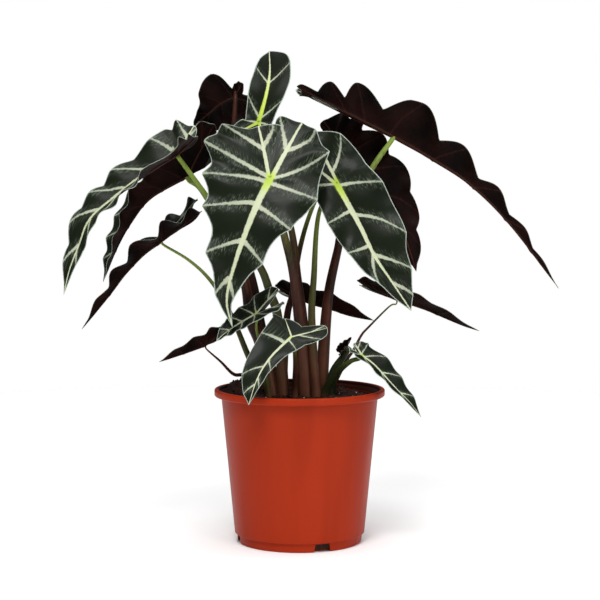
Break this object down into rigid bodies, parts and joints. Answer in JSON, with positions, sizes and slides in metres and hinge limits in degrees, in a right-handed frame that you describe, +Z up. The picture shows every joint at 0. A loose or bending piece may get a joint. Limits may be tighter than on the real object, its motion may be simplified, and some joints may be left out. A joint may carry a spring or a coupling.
{
  "type": "potted alocasia plant",
  "caption": "Arrow-leaved house plant with white-veined dark leaves on upright stalks, rooted in soil in a round plastic nursery pot.",
  "frame": {"origin": "centre of the pot's base, on the pot's axis, where it rests", "axes": "+Z up along the pot's axis; the plant's best side faces -Y, and its longest leaf reaches towards +X"},
  "size_m": [0.4896, 0.1835, 0.4928],
  "materials": {
    "pot_plastic": "terracotta-coloured moulded plastic, satin, with a soft sheen down its side",
    "soil": "dark crumbly peat with bark and a few white grains",
    "leaf": "glossy very dark green upper side with raised silver-white veins, matt dark purple underside",
    "stalk": "smooth waxy stalk, mottled maroon-brown at the foot and olive green above"
  },
  "bodies": {
    "root": {"pot": "pot_plastic", "soil": "soil", "leaf_front": "leaf", "stalk_front": "stalk", "leaf_right_front": "leaf", "stalk_right_front": "stalk", "leaf_long_right": "leaf", "stalk_long_right": "stalk", "leaf_right_back": "leaf", "stalk_right_back": "stalk", "leaf_upper_left": "leaf", "stalk_upper_left": "stalk", "leaf_middle_left": "leaf", "stalk_middle_left": "stalk", "leaf_lower_left": "leaf", "stalk_lower_left": "stalk", "leaf_low_left": "leaf", "stalk_low_left": "stalk", "leaf_low_centre": "leaf", "stalk_low_centre": "stalk", "leaf_over_rim": "leaf", "stalk_over_rim": "stalk", "leaf_low_right": "leaf", "stalk_low_right": "stalk", "leaf_narrow_right": "leaf", "stalk_narrow_right": "stalk", "leaf_back_centre": "leaf", "stalk_back_centre": "stalk", "leaf_top_centre": "leaf", "stalk_top_centre": "stalk", "leaf_top_left": "leaf", "stalk_top_left": "stalk", "leaf_young": "leaf", "stalk_young": "stalk"}
  },
  "joints": []
}
